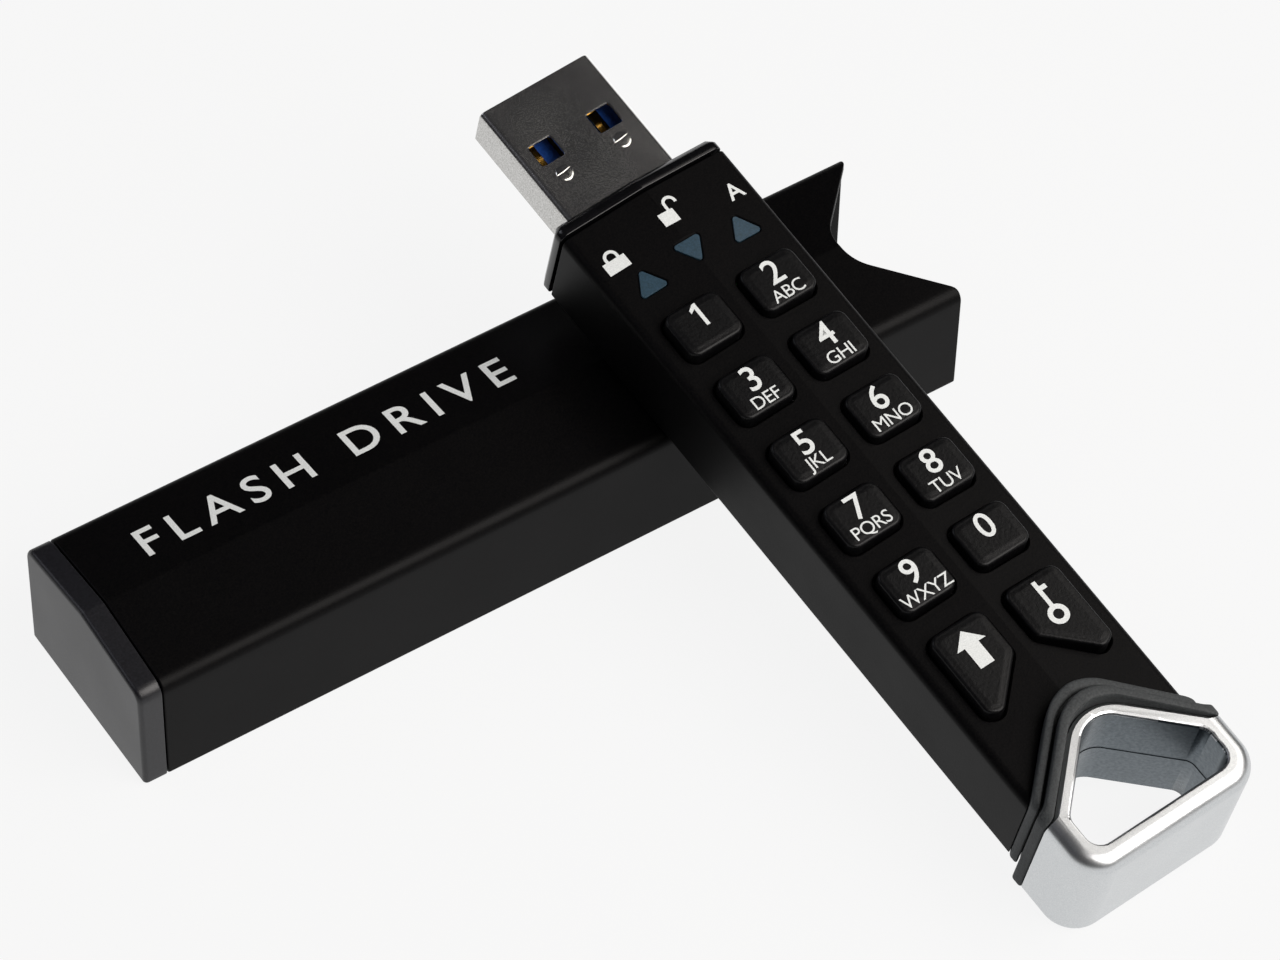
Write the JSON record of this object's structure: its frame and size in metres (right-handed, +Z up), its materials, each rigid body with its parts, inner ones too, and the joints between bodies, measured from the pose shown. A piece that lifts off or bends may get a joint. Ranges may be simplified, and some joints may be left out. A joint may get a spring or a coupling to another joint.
{
  "type": "usb flash drive",
  "caption": "Keypad flash drive with USB type A plug, rubber gasket and metal key loop, lying across its open-ended extruded sleeve.",
  "frame": {"origin": "centre of the sleeve's flat base, on the table", "axes": "+Z up from the table; +X along the sleeve from its capped end to its open mouth; the drive lies across the sleeve, with its plug towards +Y and its loop end on the table towards -Y"},
  "size_m": [0.0852, 0.0909, 0.0263],
  "materials": {
    "black_anodised": "black anodised, fine satin grain",
    "cap_plastic": "moulded, half gloss",
    "bezel_plastic": "moulded, glossy black",
    "key_plastic": "moulded, fine leather-like grain, white printed legends",
    "plug_steel": "nickel plated, fine speckled grain",
    "blue_insulator": "moulded blue",
    "gold_contact": "gold plated",
    "grey_rubber": "moulded, matte",
    "satin_cast_metal": "cast, bead blasted satin",
    "blue_window": "moulded, slate blue",
    "green_board": "green solder mask",
    "chip_package": "moulded black resin",
    "battery_foil": "silver laminate pouch",
    "light_chip": "moulded pale resin",
    "rubber_mat": "moulded, translucent grey"
  },
  "bodies": {
    "sleeve": {"sleeve_tube": "black_anodised", "sleeve_end_cap": "cap_plastic"},
    "drive": {"drive_shell": "black_anodised", "front_bezel": "bezel_plastic", "plug_shell": "plug_steel", "rear_gasket": "grey_rubber", "key_loop": "satin_cast_metal", "flat_contact_1": "gold_contact", "flat_contact_2": "gold_contact", "flat_contact_3": "gold_contact", "flat_contact_4": "gold_contact", "spring_contact_1": "gold_contact", "spring_contact_2": "gold_contact", "spring_contact_3": "gold_contact", "spring_contact_4": "gold_contact", "spring_contact_5": "gold_contact", "plug_tongue": "blue_insulator", "circuit_board": "green_board", "memory_chip_front": "chip_package", "memory_chip_rear": "chip_package", "controller_chip": "chip_package", "crystal": "plug_steel", "battery": "battery_foil", "light_red": "light_chip", "light_green": "light_chip", "light_blue": "light_chip", "keypad_mat": "rubber_mat", "window_red": "blue_window", "window_green": "blue_window", "window_blue": "blue_window"},
    "key_1": {"key_1": "key_plastic"},
    "key_2": {"key_2": "key_plastic"},
    "key_3": {"key_3": "key_plastic"},
    "key_4": {"key_4": "key_plastic"},
    "key_5": {"key_5": "key_plastic"},
    "key_6": {"key_6": "key_plastic"},
    "key_7": {"key_7": "key_plastic"},
    "key_8": {"key_8": "key_plastic"},
    "key_9": {"key_9": "key_plastic"},
    "key_0": {"key_0": "key_plastic"},
    "key_arrow": {"key_arrow": "key_plastic"},
    "key_unlock": {"key_unlock": "key_plastic"}
  },
  "joints": [
    {"name": "drive_lift", "type": "slide", "parent": "sleeve", "child": "drive", "axis": [0, 0, 1], "range_m": [0, 0.04]},
    {"name": "key_1_press", "type": "slide", "parent": "drive", "child": "key_1", "axis": [0, 0.2072, -0.9783], "range_m": [0, 0.0005], "stiffness_N_per_m": 500},
    {"name": "key_2_press", "type": "slide", "parent": "drive", "child": "key_2", "axis": [0, 0.2072, -0.9783], "range_m": [0, 0.0005], "stiffness_N_per_m": 500},
    {"name": "key_3_press", "type": "slide", "parent": "drive", "child": "key_3", "axis": [0, 0.2072, -0.9783], "range_m": [0, 0.0005], "stiffness_N_per_m": 500},
    {"name": "key_4_press", "type": "slide", "parent": "drive", "child": "key_4", "axis": [0, 0.2072, -0.9783], "range_m": [0, 0.0005], "stiffness_N_per_m": 500},
    {"name": "key_5_press", "type": "slide", "parent": "drive", "child": "key_5", "axis": [0, 0.2072, -0.9783], "range_m": [0, 0.0005], "stiffness_N_per_m": 500},
    {"name": "key_6_press", "type": "slide", "parent": "drive", "child": "key_6", "axis": [0, 0.2072, -0.9783], "range_m": [0, 0.0005], "stiffness_N_per_m": 500},
    {"name": "key_7_press", "type": "slide", "parent": "drive", "child": "key_7", "axis": [0, 0.2072, -0.9783], "range_m": [0, 0.0005], "stiffness_N_per_m": 500},
    {"name": "key_8_press", "type": "slide", "parent": "drive", "child": "key_8", "axis": [0, 0.2072, -0.9783], "range_m": [0, 0.0005], "stiffness_N_per_m": 500},
    {"name": "key_9_press", "type": "slide", "parent": "drive", "child": "key_9", "axis": [0, 0.2072, -0.9783], "range_m": [0, 0.0005], "stiffness_N_per_m": 500},
    {"name": "key_0_press", "type": "slide", "parent": "drive", "child": "key_0", "axis": [0, 0.2072, -0.9783], "range_m": [0, 0.0005], "stiffness_N_per_m": 500},
    {"name": "key_arrow_press", "type": "slide", "parent": "drive", "child": "key_arrow", "axis": [0, 0.2072, -0.9783], "range_m": [0, 0.0005], "stiffness_N_per_m": 500},
    {"name": "key_unlock_press", "type": "slide", "parent": "drive", "child": "key_unlock", "axis": [0, 0.2072, -0.9783], "range_m": [0, 0.0005], "stiffness_N_per_m": 500}
  ]
}
